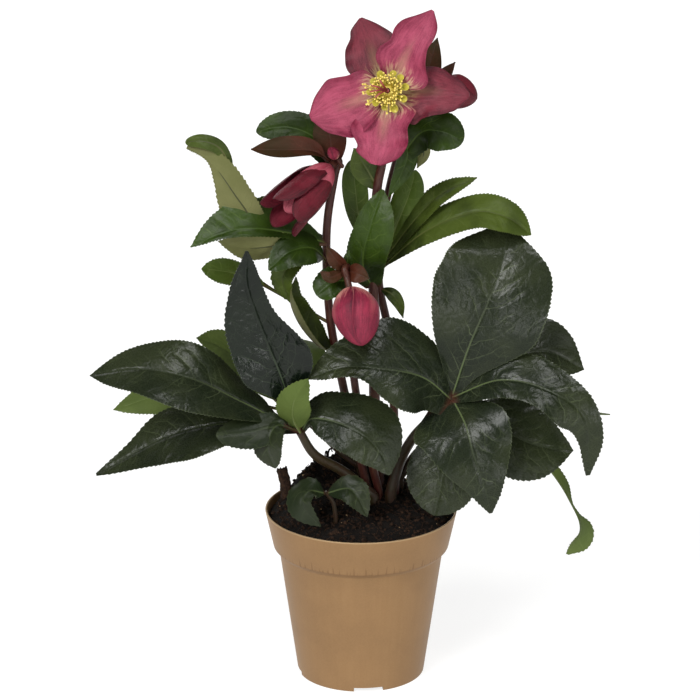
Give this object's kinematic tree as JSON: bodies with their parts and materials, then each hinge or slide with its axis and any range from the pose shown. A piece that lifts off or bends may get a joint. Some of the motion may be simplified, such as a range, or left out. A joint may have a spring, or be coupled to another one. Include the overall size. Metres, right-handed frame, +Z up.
{
  "type": "potted hellebore",
  "caption": "Hellebore in a round nursery pot: toothed evergreen leaves, leafy flower stems, one open pink flower and nodding buds.",
  "frame": {"origin": "centre of the pot's foot, on the surface that it stands on", "axes": "+Z up along the pot's axis, -Y the side that the open flower faces, +X to the right seen from there"},
  "size_m": [0.3482, 0.1651, 0.4655],
  "materials": {
    "pot_plastic": "gold-coloured thin plastic with a satin sheen",
    "peat": "dark crumbly potting peat",
    "dry_stalk": "dry and brown",
    "dark_leaf": "leathery, dark green, half glossy, with paler veins",
    "stem_leaf": "fresh green, half glossy, stalks flushed dark red",
    "petal": "matte rose pink with darker veins",
    "nectary": "green-yellow, half glossy",
    "stamen": "matte cream yellow",
    "style": "dark red"
  },
  "bodies": {
    "root": {"pot": "pot_plastic", "soil": "peat", "old_stalk": "dry_stalk", "leaf_left": "dark_leaf", "leaf_right": "dark_leaf", "leaf_small": "dark_leaf", "leaf_back_left": "dark_leaf", "leaf_back_right": "dark_leaf", "stem_left": "stem_leaf", "stem_centre": "stem_leaf", "stem_main": "stem_leaf", "stem_right": "stem_leaf", "bloom_petals": "petal", "bloom_nectaries": "nectary", "bloom_stamens": "stamen", "bloom_styles": "style", "bud_left": "petal", "bud_centre": "petal", "bud_right": "petal", "bud_small": "petal"}
  },
  "joints": []
}
